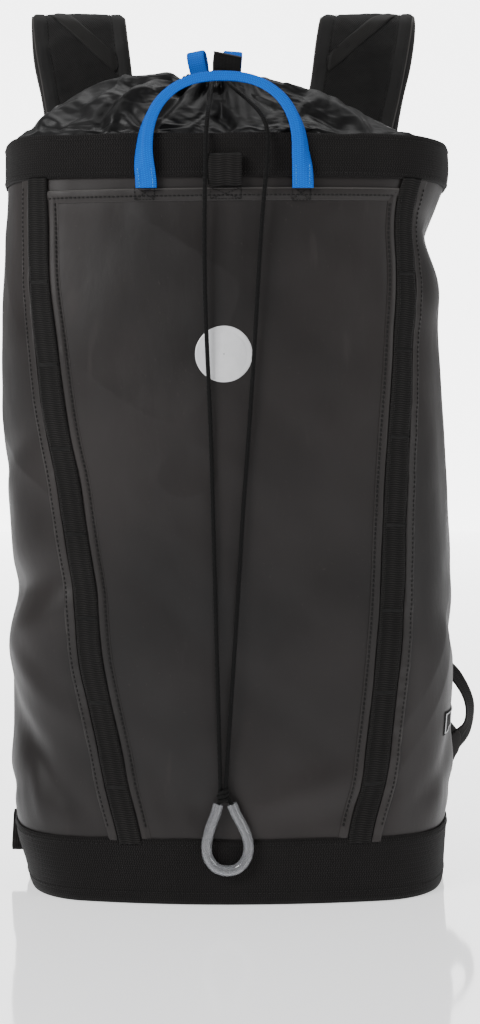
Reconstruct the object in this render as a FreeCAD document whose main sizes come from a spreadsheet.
# Top-loading rope bag with shoulder straps, standing upright.
# Frame: origin at the centre of the flat underside, +Z up, the front faces -Y,
# +X is to the right of someone looking at the front. All sizes are in millimetres.
#
# The wall is one closed outline in plan, made of eight tangent arcs. Every panel and
# webbing that lies on the wall is a slice of a shell offset from that outline, so the
# layers keep a constant clearance all the way round the corners.
import FreeCAD, Part
import math
import os
import Sketcher
from FreeCAD import Placement, Rotation, Vector

doc = FreeCAD.newDocument("rope_bag")
TACK_COUNT = 7

SIZES = {
    # wall outline in plan
    "half_width": 203, "half_depth": 120, "front_radius": 737, "corner_radius": 70,
    "side_radius": 185, "fabric": 1.6, "gap": 0.3, "webbing": 1.7, "tape": 1.0,
    # heights
    "base_thick": 2.5, "board_thick": 5, "base_band_top": 57.5, "hem_bottom": 623,
    "hem_top": 635, "rim_bottom": 644, "rim_top": 682, "deep": 200,
    # front seams: x at the foot (z = 0) and at the hem, left and right
    "left_seam_foot": -82, "left_seam_hem": -170, "right_seam_foot": 110, "right_seam_hem": 169,
    "chain_half": 10, "welt_wide": 9, "back_half": 150, "board_room": 4,
    # bar tacks that hold the flat webbing down every so often
    "tack_low": 105, "tack_pitch": 76, "tack_tall": 2.5,
    # padding and trim
    "pad_half": 112, "pad_thick": 12, "pad_bottom": 70, "pad_top": 600,
    "emblem_radius": 25, "emblem_x": -3.5, "emblem_z": 487,
    "label_front": -70, "label_back": -20, "label_low": 140, "label_high": 162,
    "side_tab_wide": 10.4, "side_tab_half": 12, "side_tab_low": 20, "side_tab_high": 58,
    # collar and mouth
    "collar_wall": 1.4, "shoulder_scale": 0.82, "shoulder_y": 8, "shoulder_z": 716,
    "neck_scale": 0.60, "neck_x": -4, "neck_y": 2, "neck_z": 738, "well_deep": 30, "well_inset": 0.04,
    "mouth_z": 746, "mouth_y": -42, "mouth_x": -8, "mouth_scale": 0.17,
    "mouth_wall": 5, "mouth_tall": 4, "exit_left": -20, "exit_wide": 20, "exit_deep": 6,
    "exit_low": 740, "exit_tall": 8, "exit_round": 1.5,
    "mouth_tab_left": -15, "mouth_tab_wide": 27, "mouth_tab_tall": 13, "mouth_tab_thick": 1.4,
    # front handle
    "handle_x": -3.2, "handle_span": 69, "handle_y": -126.5, "handle_foot": 635.5,
    "handle_bend": 669, "handle_lean": 12, "handle_tube": 4.2, "handle_leg": 18, "handle_sheet": 2.4,
    # gear loop
    "loop_x": -17, "loop_wide": 30, "loop_foot": 635.5, "loop_tall": 28, "loop_deep": 9, "loop_y": -123,
    # pull tabs
    "tab_wide": 19, "tab_tall": 21, "tab_deep": 8, "tab_foot": 751, "tab_wall": 1.5, "tab_back": 12,
    "left_tab_left": -36.5, "right_tab_left": -7,
    # drawcord and pull
    "cord_wide": 4, "knot_radius": 6, "knot_x": -4.5, "knot_y": -128.5, "knot_z": 98,
    "tube_wide": 9.2, "tube_bore": 6, "pull_radius": 18.8, "pull_x": -0.4, "pull_z": 50,
    # shoulder straps
    "left_strap_x": -148, "right_strap_x": 130, "strap_wide": 90, "strap_thick": 10,
    "strap_y": 131, "strap_bend": 28, "strap_bend_z": 812, "strap_hinge_z": 686,
    "strap_base_z": 606, "strap_end_z": 345, "ribbon_wide": 25, "ribbon": 1.8,
    "tape_top_drop": 15, "tape_clear": 4, "upper_loop_clear": 2.2, "fold_near": 5.5, "fold_far": 9,
    "bar_half": 1.75,
    # ladder lock
    "lock_wide": 33, "lock_tall": 38, "lock_thick": 5, "lock_slot": 26.5, "lock_bar": 6, "lock_z": 300,
    "lock_pitch": 12.5,
    # lower webbing and anchors
    "lower_y": 193, "left_wing": -196, "right_wing": 230, "wing_y": 94, "wing_thick": 3,
    "wing_low": 88, "wing_high": 138,
}
sheet = doc.addObject("Spreadsheet::Sheet", "Sizes")
for row, (name, value) in enumerate(SIZES.items(), start=1):
    sheet.set(f"A{row}", name)
    sheet.set(f"B{row}", str(value))
    sheet.setAlias(f"B{row}", name)
doc.recompute()
nodes = []


def size(name):
    """One driving dimension, read from the sheet."""
    return float(sheet.get(name))


def bind(thing, **links):
    """Bind each named property to an expression over the sheet's aliases."""
    for prop, expression in links.items():
        for alias in sorted(SIZES, key=len, reverse=True):
            expression = replace_word(expression, alias)
        thing.setExpression(prop.replace("__", "."), expression)
    return thing


def replace_word(expression, alias):
    """Put the sheet's name before each whole word that is an alias."""
    out, word = "", ""
    for letter in expression + " ":
        if letter.isalnum() or letter in "_.":
            word += letter
        else:
            out += ("Sizes." + word if word == alias else word) + letter
            word = ""
    return out.strip()


def node(thing, label):
    """Mark an object as a finished piece: its label names the piece."""
    thing.Label = label
    nodes.append(thing)
    return thing


def feature(label, shape):
    """A piece whose shape is worked out in code from the sheet's sizes."""
    thing = doc.addObject("Part::Feature", label)
    thing.Shape = shape
    return node(thing, label)


# ---------------------------------------------------------------- wall outline

def outline():
    """The closed plan outline of the wall: front, corner, side, corner, back, and so on."""
    half_width, half_depth = size("half_width"), size("half_depth")
    front, corner, side = size("front_radius"), size("corner_radius"), size("side_radius")
    long_y, side_x = front - half_depth, half_width - side
    reach = math.hypot(side_x, long_y)
    near, far = front - corner, side - corner
    along = (reach ** 2 + near ** 2 - far ** 2) / (2 * reach)
    across = math.sqrt(near ** 2 - along ** 2)
    ux, uy = side_x / reach, -long_y / reach
    corner_x, corner_y = ux * along - uy * across, long_y + uy * along + ux * across
    front_end = math.atan2(corner_y - long_y, corner_x)
    side_start = math.atan2(corner_y, corner_x - side_x)
    turn = math.pi
    arcs = [
        (0, long_y, front, -turn - front_end, front_end),
        (corner_x, corner_y, corner, front_end, side_start),
        (side_x, 0, side, side_start, -side_start),
        (corner_x, -corner_y, corner, -side_start, -front_end),
        (0, -long_y, front, -front_end, turn + front_end),
        (-corner_x, -corner_y, corner, turn + front_end, turn + side_start),
        (-side_x, 0, side, turn + side_start, turn - side_start),
        (-corner_x, corner_y, corner, turn - side_start, turn - front_end),
    ]
    sketch = doc.addObject("Sketcher::SketchObject", "Outline")
    for x, y, radius, start, end in arcs:
        circle = Part.Circle(Vector(x, y, 0), Vector(0, 0, 1), radius)
        sketch.addGeometry(Part.ArcOfCircle(circle, start, end), False)
    for index in range(8):
        sketch.addConstraint(Sketcher.Constraint("Tangent", index, 2, (index + 1) % 8, 1))
    radii = {"front_radius": (0, 4), "corner_radius": (1, 3, 5, 7), "side_radius": (2, 6)}
    for alias, members in radii.items():
        for index in members:
            rule = sketch.addConstraint(Sketcher.Constraint("Radius", index, size(alias)))
            sketch.setExpression(f"Constraints[{rule}]", f"Sizes.{alias}")
    for index in (0, 4):
        sketch.addConstraint(Sketcher.Constraint("PointOnObject", index, 3, -2))
    for index in (2, 6):
        sketch.addConstraint(Sketcher.Constraint("PointOnObject", index, 3, -1))
    centres = [
        ("DistanceY", (-1, 1, 0, 3), long_y, "Sizes.front_radius - Sizes.half_depth"),
        ("DistanceY", (4, 3, -1, 1), long_y, "Sizes.front_radius - Sizes.half_depth"),
        ("DistanceX", (-1, 1, 2, 3), side_x, "Sizes.half_width - Sizes.side_radius"),
        ("DistanceX", (6, 3, -1, 1), side_x, "Sizes.half_width - Sizes.side_radius"),
    ]
    for kind, ends, value, expression in centres:
        rule = sketch.addConstraint(Sketcher.Constraint(kind, *ends, value))
        sketch.setExpression(f"Constraints[{rule}]", expression)
    return sketch


def offset(source, distance, fill=False):
    """A curve or a filled band at an even distance from another curve."""
    thing = doc.addObject("Part::Offset2D", "Offset")
    thing.Source = source
    thing.Join = "Arc"
    thing.Fill = fill
    thing.Value = 1
    return bind(thing, Value=distance)


def prism(face, bottom, top):
    """A flat profile raised from one height to another."""
    thing = doc.addObject("Part::Extrusion", "Prism")
    thing.Base = face
    thing.DirMode = "Custom"
    thing.Dir = Vector(0, 0, 1)
    thing.LengthFwd = 1
    thing.Solid = True
    return bind(thing, LengthFwd=f"({top}) - ({bottom})", Placement__Base__z=bottom)


def shell(inner, thick, bottom, top):
    """A closed band round the bag: its inner face lies this far outside the outline."""
    edge = offset(wall, inner)
    return prism(offset(edge, thick, fill=True), bottom, top)


def box(x_low, x_high, y_low, y_high, z_low, z_high):
    """A plain block between two corners, each given as an expression."""
    thing = doc.addObject("Part::Box", "Block")
    bind(thing, Length=f"({x_high}) - ({x_low})", Width=f"({y_high}) - ({y_low})",
         Height=f"({z_high}) - ({z_low})")
    return bind(thing, Placement__Base__x=x_low, Placement__Base__y=y_low, Placement__Base__z=z_low)


def front_slice(low_left, low_right, high_left, high_right, bottom, top):
    """A prism seen from the front as a trapezium, reaching from the middle to past the front."""
    thing = doc.addObject("Part::Wedge", "Slice")
    thing.Placement = Placement(Vector(0, 0, 0), Rotation(Vector(1, 0, 0), 90))
    bind(thing, Xmin=low_left, Xmax=low_right, X2min=high_left, X2max=high_right)
    bind(thing, Zmin="0", Zmax="deep", Z2min="0", Z2max="deep")
    return bind(thing, Ymin="0", Ymax=f"({top}) - ({bottom})", Placement__Base__z=bottom)


def combine(kind, first, second, label=None):
    """A boolean of two objects, marked as a piece when it has a label."""
    thing = doc.addObject(kind, label or "Mix")
    thing.Base, thing.Tool = first, second
    return node(thing, label) if label else thing


def common(first, second, label=None):
    return combine("Part::Common", first, second, label)


def cut(first, second, label=None):
    return combine("Part::Cut", first, second, label)


def join(pieces, label=None):
    thing = doc.addObject("Part::MultiFuse", label or "Join")
    thing.Shapes = pieces
    return node(thing, label) if label else thing


def seam(side, height):
    """The x of the left or right front seam line at a height, as an expression."""
    foot, hem = f"{side}_seam_foot", f"{side}_seam_hem"
    return f"{foot} + ({hem} - {foot}) * ({height}) / hem_top"


def seam_strip(side, left, right, bottom, top):
    """The slice between two lines that run alongside a front seam."""
    low, high = seam(side, bottom), seam(side, top)
    return front_slice(f"{low} + ({left})", f"{low} + ({right})",
                       f"{high} + ({left})", f"{high} + ({right})", bottom, top)


# ---------------------------------------------------------------- bag wall

def wall_panels():
    """Front, yoke, sides and back: four walls and a yoke, sewn edge to edge."""
    body = "base_thick + gap"
    cloth = shell("-fabric", "fabric", body, "rim_top")
    left, right = seam("left", body), seam("right", body)
    inset = f"{left} + gap", f"{right} - gap", "left_seam_hem + gap", "right_seam_hem - gap"
    common(cloth, front_slice(*inset, body, "hem_top - gap"), "front_panel")
    common(cloth, front_slice("left_seam_hem + gap", "right_seam_hem - gap", "left_seam_hem + gap",
                              "right_seam_hem - gap", "hem_top", "rim_top"), "front_yoke")
    back = box("-back_half", "back_half", "0", "deep", body, "rim_top")
    common(cloth, back, "back_panel")
    wide_front = front_slice(left, right, "left_seam_hem", "right_seam_hem", body, "hem_top")
    wide_yoke = front_slice("left_seam_hem", "right_seam_hem", "left_seam_hem", "right_seam_hem",
                            "hem_top", "rim_top")
    wide_back = box("-back_half - gap", "back_half + gap", "0", "deep", body, "rim_top")
    sides = cut(cut(cut(cloth, wide_front), wide_yoke), wide_back)
    common(sides, box("-2 * deep", "0", "-deep", "deep", body, "rim_top"), "left_side_panel")
    common(sides, box("0", "2 * deep", "-deep", "deep", body, "rim_top"), "right_side_panel")


def base():
    """The sewn base cloth and the stiff board that lies on it inside the bag."""
    node(prism(offset(wall, "-gap"), "0", "base_thick"), "base_panel")
    board = prism(offset(wall, "-fabric - board_room"), "base_thick + gap", "base_thick + gap + board_thick")
    node(board, "base_board")


def bands():
    """Wide webbing round the rim and round the foot."""
    node(shell("gap", "webbing", "rim_bottom", "rim_top + 1"), "rim_band")
    node(shell("gap", "webbing", "0", "base_band_top"), "base_band")


def front_trim():
    """Turned hem, seam welts, flat webbing chains and their bar tacks down both seams."""
    low, high = "base_band_top + 1", "rim_bottom - 1"
    thin = shell("gap", "tape", "base_band_top", "rim_bottom")
    chain_layer = shell("gap", "webbing", "base_band_top", "rim_bottom")
    tack_layer = shell("2 * gap + webbing", "tape", "base_band_top", "rim_bottom")
    reach = "chain_half + welt_wide + 1"
    hem_edges = [f"left_seam_hem + {reach}", f"right_seam_hem - ({reach})"] * 2
    common(thin, front_slice(*hem_edges, "hem_bottom", "hem_top - 1"), "front_hem")
    for side, inward in (("left", 1), ("right", -1)):
        near, far = "chain_half + 0.5", "chain_half + 0.5 + welt_wide"
        inner = (near, far) if inward > 0 else (f"-({far})", f"-({near})")
        outer = (f"-({far})", f"-({near})") if inward > 0 else (near, far)
        strip = seam_strip(side, "-chain_half", "chain_half", low, high)
        common(chain_layer, strip, f"{side}_daisy_chain")
        common(thin, seam_strip(side, *inner, low, "hem_bottom - 1"), f"{side}_inner_welt")
        common(thin, seam_strip(side, *outer, low, high), f"{side}_outer_welt")
        tacks = []
        for step in range(TACK_COUNT):
            height = f"tack_low + tack_pitch * {step}"
            across = "-chain_half + 1", "chain_half - 1"
            tacks.append(seam_strip(side, *across, height, f"{height} + tack_tall"))
        common(tack_layer, join(tacks), f"{side}_bar_tacks")


def small_trim():
    """Emblem disc on the front, size label and folded tab on the sides."""
    disc = doc.addObject("Part::Cylinder", "Disc")
    bind(disc, Radius="emblem_radius", Height="deep", Placement__Base__x="emblem_x",
         Placement__Base__z="emblem_z")
    disc.Placement.Rotation = Rotation(Vector(1, 0, 0), 90)
    common(shell("gap", "tape / 2", "0", "hem_bottom"), disc, "front_emblem")
    label = box("half_width / 2", "half_width * 2", "label_front", "label_back", "label_low", "label_high")
    common(shell("gap", "tape / 2", "0", "hem_bottom"), label, "side_label")
    near = "-half_width - webbing - 2 * gap"
    node(box(f"{near} - side_tab_wide", near, "-side_tab_half", "side_tab_half", "side_tab_low",
             "side_tab_high"), "left_side_tab")


def back_padding():
    """Foam pad sewn to the back panel, and one anchor wing low on each side."""
    foam = shell("gap", "pad_thick", "pad_bottom", "pad_top")
    common(foam, box("-pad_half", "pad_half", "0", "deep", "pad_bottom", "pad_top"), "back_pad")
    spans = {"left": ("left_wing", "-half_width / 2"), "right": ("half_width / 2", "right_wing")}
    for side, span in spans.items():
        wing = box(*span, "wing_y", "wing_y + wing_thick", "wing_low", "wing_high")
        cut(wing, prism(offset(wall, "gap"), "0", "rim_top"), f"{side}_anchor_tab")


# ---------------------------------------------------------------- collar and mouth

def scaled_outline(scale, shift_x, shift_y, height):
    """A smaller copy of the wall outline at a height."""
    wire = wall.Shape.Wires[0].copy()
    wire.scale(scale)
    wire.translate(Vector(shift_x, shift_y, height))
    return wire


def dome(inset, drop):
    """The gathered cone of the collar: even steps from the rim in to the mouth."""
    shrink = 1 - inset / size("half_depth")
    mouth = size("mouth_scale") - inset / size("half_depth")
    levels = [
        (shrink, 0, 0, size("rim_bottom")),
        (shrink, 0, 0, size("rim_top") - drop),
        (size("shoulder_scale") - 1 + shrink, 0, size("shoulder_y"), size("shoulder_z") - drop),
        (size("neck_scale") - 1 + shrink, size("neck_x"), size("neck_y"), size("neck_z") - drop),
        (mouth, size("mouth_x"), size("mouth_y"), size("mouth_z") - drop),
    ]
    wires = [scaled_outline(*level) for level in levels]
    return Part.makeLoft(wires, True, True)


def collar():
    """Thin sleeve from inside the rim to the mouth, open at both ends."""
    clear = size("fabric") + size("gap")
    outer = dome(clear, 0)
    inner = dome(clear + size("collar_wall"), size("collar_wall"))
    deep = size("well_deep")
    well = Part.Face(scaled_outline(size("mouth_scale") - size("well_inset"), size("mouth_x"),
                                    size("mouth_y"), size("mouth_z") - deep))
    feature("collar", outer.cut(inner).cut(well.extrude(Vector(0, 0, 2 * deep))))


def mouth():
    """Hem ring that carries the drawcord, the block the cord leaves by, and the tabs above."""
    gap, top = size("gap"), size("mouth_z") + size("gap")
    x, y, scale = size("mouth_x"), size("mouth_y"), size("mouth_scale")
    thick = size("mouth_wall") / size("half_depth")
    tall = size("mouth_tall")
    outer = Part.Face(scaled_outline(scale, x, y, top)).extrude(Vector(0, 0, tall))
    inner = Part.Face(scaled_outline(scale - thick, x, y, top - 1)).extrude(Vector(0, 0, 2 * tall))
    feature("mouth_hem", outer.cut(inner))
    half_deep = scale * size("half_depth")
    face = y - half_deep - gap
    block = Part.makeBox(size("exit_wide"), size("exit_deep"), size("exit_tall"),
                         Vector(size("exit_left"), face - size("exit_deep"), size("exit_low")))
    collar_core = dome(size("fabric") + gap, 0)
    collar_core.translate(Vector(0, -gap, 0))
    feature("cord_exit", block.makeFillet(size("exit_round"), block.Edges).cut(collar_core))
    wide, tall_tab, thick = size("mouth_tab_wide"), size("mouth_tab_tall"), size("mouth_tab_thick")
    feature("mouth_tab", Part.makeBox(wide, thick, tall_tab, Vector(
        size("mouth_tab_left"), y - half_deep + 2 * gap, top + tall + gap)))
    pull_loops(y + half_deep - size("tab_back"))


def pull_loops(front):
    """Two short loops of webbing that open the mouth, side by side behind the front tab."""
    wide, tall, deep, wall_thick = size("tab_wide"), size("tab_tall"), size("tab_deep"), size("tab_wall")
    for side in ("left", "right"):
        corner = Vector(size(f"{side}_tab_left"), front, size("tab_foot"))
        inner_corner = corner + Vector(0, wall_thick, wall_thick)
        outer = Part.makeBox(wide, deep, tall, corner)
        hole = Part.makeBox(wide, deep - 2 * wall_thick, tall - 2 * wall_thick, inner_corner)
        feature(f"{side}_pull_tab", outer.cut(hole))


# ---------------------------------------------------------------- handle and gear loop

def front_handle():
    """Webbing grab handle: flat feet on the rim and a folded bow that leans back."""
    x, span, y = size("handle_x"), size("handle_span"), size("handle_y")
    foot, bend, lean = size("handle_foot"), size("handle_bend"), math.radians(size("handle_lean"))
    tube = size("handle_tube")
    across, up = Vector(1, 0, 0), Vector(0, math.sin(lean), math.cos(lean))
    centre = Vector(x, y, bend)
    arch = Part.Arc(centre - across * span, centre + up * span, centre + across * span).toShape()
    ring = Part.Wire([arch]).makePipeShell([Part.Wire([Part.Circle(
        centre - across * span, up, tube).toShape()])], True, False)
    sheet_thick, wide = size("handle_sheet"), size("handle_leg")
    shape = ring
    for sign in (-1, 1):
        leg = Part.makeBox(wide, sheet_thick, bend - foot + 2,
                           Vector(x + sign * span - wide / 2, y - sheet_thick / 2, foot))
        shape = shape.fuse(leg)
    feature("front_handle", shape.removeSplitter())
    for side, sign in (("left", -1), ("right", 1)):
        left = x + sign * span - wide / 2
        label = f"{side}_handle_tack"
        layer = shell("gap", "tape", "hem_bottom", "hem_top")
        common(layer, box(f"{left}", f"{left + wide}", "-deep", "0", "hem_top - 0.8", "hem_top - 0.2"), label)


def gear_loop():
    """Folded webbing loop that stands proud of the rim at the centre."""
    outer = box("loop_x", "loop_x + loop_wide", "loop_y - loop_deep", "loop_y",
                "loop_foot", "loop_foot + loop_tall")
    hole = box("loop_x - 1", "loop_x + loop_wide + 1", "loop_y - loop_deep + ribbon", "loop_y - ribbon",
               "loop_foot + ribbon", "loop_foot + loop_tall - ribbon")
    cut(outer, hole, "gear_loop")


# ---------------------------------------------------------------- drawcord and pull

LEFT_ROUTE = [
    (-13.5, -67.5, 742.5), (-14.8, -82, 732.5), (-16.4, -103, 714.5), (-18.2, -121, 698),
    (-19.3, -129.5, 681), (-19.9, -131, 655), (-20.7, -130.4, 605), (-20.5, -129.2, 550),
    (-18.6, -128.3, 495), (-15.9, -127.8, 440), (-14.0, -127.6, 385), (-6.6, -128.3, 103.4),
]
RIGHT_ROUTE = [
    (-6.5, -67.5, 742.5), (-0.5, -80, 733.5), (17.6, -103, 715), (30.6, -121, 698.5),
    (35.6, -129.5, 682), (34.6, -131, 655), (30.6, -130.4, 615), (27.2, -129.2, 562),
    (24.2, -128.3, 507), (20.8, -127.8, 452), (17.0, -127.5, 397), (12.8, -127.4, 342),
    (9.9, -127.5, 287), (-2.2, -128.3, 102.8),
]


# where the clear tube and the cord inside it start and end, as (x, z)
TUBE_ENDS = (-8.4, 90), (3.1, 90)
PULL_CORD_ENDS = (-7.9, 91.7), (1.6, 93.4)


def rounded_path(points):
    """Straight runs joined by tangent arcs, each as large as its two runs allow."""
    spots = [Vector(*point) for point in points]
    edges, start, radii = [], spots[0], []
    for before, corner, after in zip(spots, spots[1:], spots[2:]):
        inward, outward = (corner - before), (after - corner)
        turn = inward.getAngle(outward)
        back = 0.45 * min(inward.Length, outward.Length)
        radii.append(back / math.tan(turn / 2))
        inward.normalize()
        outward.normalize()
        entry, leave = corner - inward * back, corner + outward * back
        middle = outward - inward
        middle.normalize()
        bow = radii[-1] * (1 / math.cos(turn / 2) - 1)
        edges.append(Part.LineSegment(start, entry).toShape())
        edges.append(Part.Arc(entry, corner + middle * bow, leave).toShape())
        start = leave
    edges.append(Part.LineSegment(start, spots[-1]).toShape())
    return Part.Wire(edges), radii


def round_tube(path, radius):
    """A round solid swept along a path, with its volume held against section times length."""
    edge = path.Edges[0]
    ring = Part.Circle(edge.Vertexes[0].Point, edge.tangentAt(edge.FirstParameter), radius)
    solid = path.makePipeShell([Part.Wire([ring.toShape()])], True, False)
    expected = math.pi * radius ** 2 * path.Length
    print(f"  tube volume {solid.Volume:.0f}, section x length {expected:.0f}")
    return solid


def drawcord():
    """Two legs of the drawcord from the mouth down the front to the knot."""
    for label, route in (("drawcord_left", LEFT_ROUTE), ("drawcord_right", RIGHT_ROUTE)):
        path, radii = rounded_path(route)
        print(f"{label}: length {path.Length:.0f} mm, radii", [round(radius) for radius in radii])
        feature(label, round_tube(path, size("cord_wide") / 2))
    knot = doc.addObject("Part::Sphere", "Knot")
    bind(knot, Radius="knot_radius", Placement__Base__x="knot_x", Placement__Base__y="knot_y",
         Placement__Base__z="knot_z")
    node(knot, "pull_knot")


def pull_path(left_start, right_start):
    """A drop-shaped line: two straight flanks tangent to one round bottom."""
    y = size("knot_y")
    centre, radius = Vector(size("pull_x"), y, size("pull_z")), size("pull_radius")
    touches = []
    for point, sign in ((left_start, -1), (right_start, 1)):
        away = Vector(point[0], y, point[1]) - centre
        tilt = math.atan2(away.x, away.z) + sign * math.acos(radius / away.Length)
        touches.append(centre + Vector(math.sin(tilt), 0, math.cos(tilt)) * radius)
    bottom = centre - Vector(0, 0, radius)
    first = Part.LineSegment(Vector(left_start[0], y, left_start[1]), touches[0]).toShape()
    last = Part.LineSegment(touches[1], Vector(right_start[0], y, right_start[1])).toShape()
    return Part.Wire([first, Part.Arc(touches[0], bottom, touches[1]).toShape(), last])


def pull():
    """Clear tube bent to a drop, with the cord running through it."""
    bore, wide = size("tube_bore") / 2, size("tube_wide") / 2
    path = pull_path(*TUBE_ENDS)
    tube = round_tube(path, wide).cut(round_tube(path, bore))
    feature("pull_tube", tube)
    feature("pull_cord", round_tube(pull_path(*PULL_CORD_ENDS), size("cord_wide") / 2))


# ---------------------------------------------------------------- shoulder straps

def strap_shape(centre, wide, near, thick, low, end):
    """A strap that rises, folds over backwards and comes down: two limbs and a half ring."""
    bend, top = size("strap_bend"), size("strap_bend_z")
    axis_y = size("strap_y") + bend
    left = centre - wide / 2
    outer_radius = bend + near + thick
    inner_radius = bend + near
    rise = Part.makeBox(wide, thick, top - low, Vector(left, axis_y - outer_radius, low))
    fall = Part.makeBox(wide, thick, top - end, Vector(left, axis_y + inner_radius, end))
    start = Vector(left, axis_y, top)
    ring = Part.makeCylinder(outer_radius, wide, start, Vector(1, 0, 0))
    ring = ring.cut(Part.makeCylinder(inner_radius, wide, start, Vector(1, 0, 0)))
    ring = ring.common(Part.makeBox(wide, 4 * outer_radius, outer_radius,
                                    Vector(left, axis_y - 2 * outer_radius, top)))
    return rise.fuse([ring, fall]).removeSplitter()


def ladder_lock(label, centre):
    """Sliding buckle: a frame with a slot for the strap's loop and two for the webbing."""
    body = doc.addObject("PartDesign::Body", label)
    plane = next(item for item in body.Origin.OriginFeatures if item.Role == "XZ_Plane")
    frame = body.newObject("Sketcher::SketchObject", f"{label}_frame")
    frame.AttachmentSupport = [(plane, "")]
    frame.MapMode = "FlatFace"
    rectangle(frame, "lock_wide", "lock_tall", 0)
    plate = body.newObject("PartDesign::Pad", f"{label}_plate")
    plate.Profile = frame
    plate.Midplane = True
    bind(plate, Length="lock_thick")
    doc.recompute()
    solid = plate.Shape.Volume
    slots = body.newObject("Sketcher::SketchObject", f"{label}_slots")
    slots.AttachmentSupport = [(plane, "")]
    slots.MapMode = "FlatFace"
    for step in (-1, 0, 1):
        rectangle(slots, "lock_slot", "lock_bar", step)
    pocket = body.newObject("PartDesign::Pocket", f"{label}_windows")
    pocket.Profile = slots
    pocket.Type = "ThroughAll"
    pocket.Midplane = True
    doc.recompute()
    assert pocket.Shape.Volume < solid - 10
    bind(body, Placement__Base__x=f"{centre}", Placement__Base__y="lower_y", Placement__Base__z="lock_z")
    return node(body, label)


def rectangle(sketch, wide, tall, steps):
    """A rectangle centred on the sketch's vertical axis, its middle some slot pitches up."""
    half_w, half_t, z = size(wide) / 2, size(tall) / 2, steps * size("lock_pitch")
    corners = [(-half_w, z - half_t), (half_w, z - half_t), (half_w, z + half_t), (-half_w, z + half_t)]
    first = sketch.GeometryCount
    for start, end in zip(corners, corners[1:] + corners[:1]):
        sketch.addGeometry(Part.LineSegment(Vector(*start, 0), Vector(*end, 0)), False)
    for index in range(4):
        sketch.addConstraint(Sketcher.Constraint("Coincident", first + index, 2, first + (index + 1) % 4, 1))
        kind = "Vertical" if index % 2 else "Horizontal"
        sketch.addConstraint(Sketcher.Constraint(kind, first + index))
    rules = [
        ("DistanceX", (first, 1, first, 2), 2 * half_w, f"Sizes.{wide}"),
        ("DistanceY", (first + 1, 1, first + 1, 2), 2 * half_t, f"Sizes.{tall}"),
        ("DistanceX", (first, 1, -1, 1), half_w, f"Sizes.{wide} / 2"),
    ]
    for kind, ends, value, expression in rules:
        rule = sketch.addConstraint(Sketcher.Constraint(kind, *ends, value))
        sketch.setExpression(f"Constraints[{rule}]", expression)
    low = z - half_t
    ends = (-1, 1, first, 1) if low > 0 else (first, 1, -1, 1)
    rule = sketch.addConstraint(Sketcher.Constraint("DistanceY", *ends, abs(low)))
    sign = 1 if low > 0 else -1
    sketch.setExpression(f"Constraints[{rule}]", f"{sign} * ({steps} * Sizes.lock_pitch - Sizes.{tall} / 2)")


def ribbon_along(points, wide, thick):
    """Flat webbing that hangs in a curve, its section square to the line all the way."""
    path, radii = rounded_path(points)
    print("  webbing radii", [round(radius) for radius in radii])
    first = path.Edges[0]
    ahead, start = first.tangentAt(first.FirstParameter), first.Vertexes[0].Point
    side = ahead.cross(Vector(0, 1, 0)).normalize()
    across = side.cross(ahead).normalize()
    corners = [start + side * (sx * thick / 2) + across * (sy * wide / 2)
               for sx, sy in ((-1, -1), (1, -1), (1, 1), (-1, 1))]
    section = Part.makePolygon(corners + corners[:1])
    return path.makePipeShell([section], True, False)


def bar_loop(centre, bar_z, up, clear):
    """Webbing folded round one end bar of the lock: two plates, a bridge in the slot, a closed end."""
    wide, thick, middle = size("ribbon_wide"), size("ribbon"), size("lower_y")
    half = size("lock_thick") / 2 + clear
    left = centre - wide / 2
    near, far = size("fold_near"), size("fold_far")
    low, high = (bar_z - near, bar_z + far) if up else (bar_z - far, bar_z + near)
    outer = Part.makeBox(wide, 2 * (half + thick), high - low, Vector(left, middle - half - thick, low))
    inner = Part.makeBox(wide, 2 * half, high - low - 2 * thick, Vector(left, middle - half, low + thick))
    return outer.cut(inner)


LOWER_ROUTES = {
    "left": [(-148, 193, 274), (-151, 188, 244), (-163, 174, 206), (-178, 152, 168), (-186, 134, 128)],
    "right": [(130, 193, 274), (136, 188, 244), (160, 170, 214), (197, 146, 190), (230, 128, 166),
              (243, 118, 138), (237, 112, 112)],
}


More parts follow.
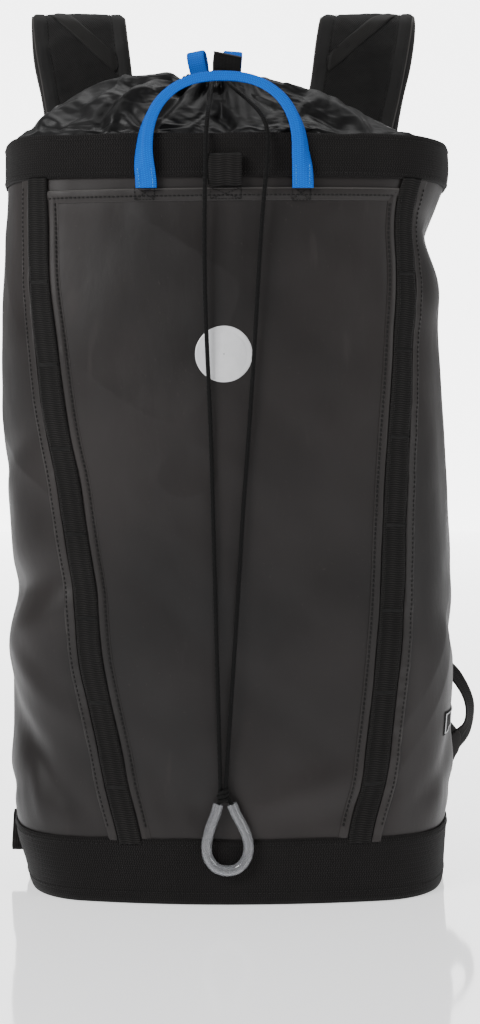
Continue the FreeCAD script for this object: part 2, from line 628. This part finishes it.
def shoulder_straps():
    """Each strap: sewn foot, padded strap, webbing down its rear limb, lock and lower webbing."""
    wide, thick, gap = size("strap_wide"), size("strap_thick"), size("gap")
    hinge, ribbon, narrow = size("strap_hinge_z"), size("ribbon"), size("ribbon_wide")
    lock_z, reach = size("lock_z"), size("lock_tall") / 2
    bulge = offset(wall, "2 * gap + webbing")
    doc.recompute()
    core = Part.Face(bulge.Shape.Wires[0]).extrude(Vector(0, 0, size("rim_top") + 10))
    for side in ("left", "right"):
        centre = size(f"{side}_strap_x")
        foot = Part.makeBox(wide, size("strap_y") + thick / 2, hinge - 2 - size("strap_base_z"),
                            Vector(centre - wide / 2, 0, size("strap_base_z")))
        feature(f"{side}_strap_base", foot.cut(core))
        pad = strap_shape(centre, wide, -thick / 2, thick, hinge + 2, size("strap_end_z"))
        feature(f"{side}_strap_pad", pad)
        tape_y = size("strap_y") + 2 * size("strap_bend") + thick / 2 + gap
        tape_low = lock_z + reach + size("tape_clear")
        tape_high = size("strap_bend_z") - size("tape_top_drop")
        tape = Part.makeBox(narrow, ribbon, tape_high - tape_low, Vector(centre - narrow / 2, tape_y, tape_low))
        upper = bar_loop(centre, lock_z + reach - size("bar_half"), True, size("upper_loop_clear"))
        feature(f"{side}_strap_webbing", tape.fuse(upper))
        ladder_lock(f"{side}_ladder_lock", centre)
        hanging = ribbon_along(LOWER_ROUTES[side], narrow, ribbon)
        loop = bar_loop(centre, lock_z - reach + size("bar_half"), False, gap)
        feature(f"{side}_lower_webbing", hanging.fuse(loop))


def check_and_export():
    """Stop on any failed object, then write one file for each piece."""
    doc.recompute()
    failed = [item.Label for item in doc.Objects if {"Invalid", "Error"} & set(item.State)]
    assert not failed, failed
    os.makedirs("parts", exist_ok=True)
    for piece in nodes:
        shape = piece.Shape
        assert not shape.isNull() and shape.isValid() and shape.Volume > 0, piece.Label
        bound = shape.BoundBox
        print(f"{piece.Label:20s} solids {len(shape.Solids)} volume {shape.Volume:10.0f}"
              f"  x {bound.XMin:.0f}..{bound.XMax:.0f}"
              f"  y {bound.YMin:.0f}..{bound.YMax:.0f}  z {bound.ZMin:.0f}..{bound.ZMax:.0f}")
        shape.exportStep(f"parts/{piece.Label}.step")
    print(len(nodes), "pieces")


wall = outline()
doc.recompute()
wall_panels()
base()
bands()
front_trim()
small_trim()
back_padding()
collar()
mouth()
front_handle()
gear_loop()
drawcord()
pull()
shoulder_straps()
check_and_export()
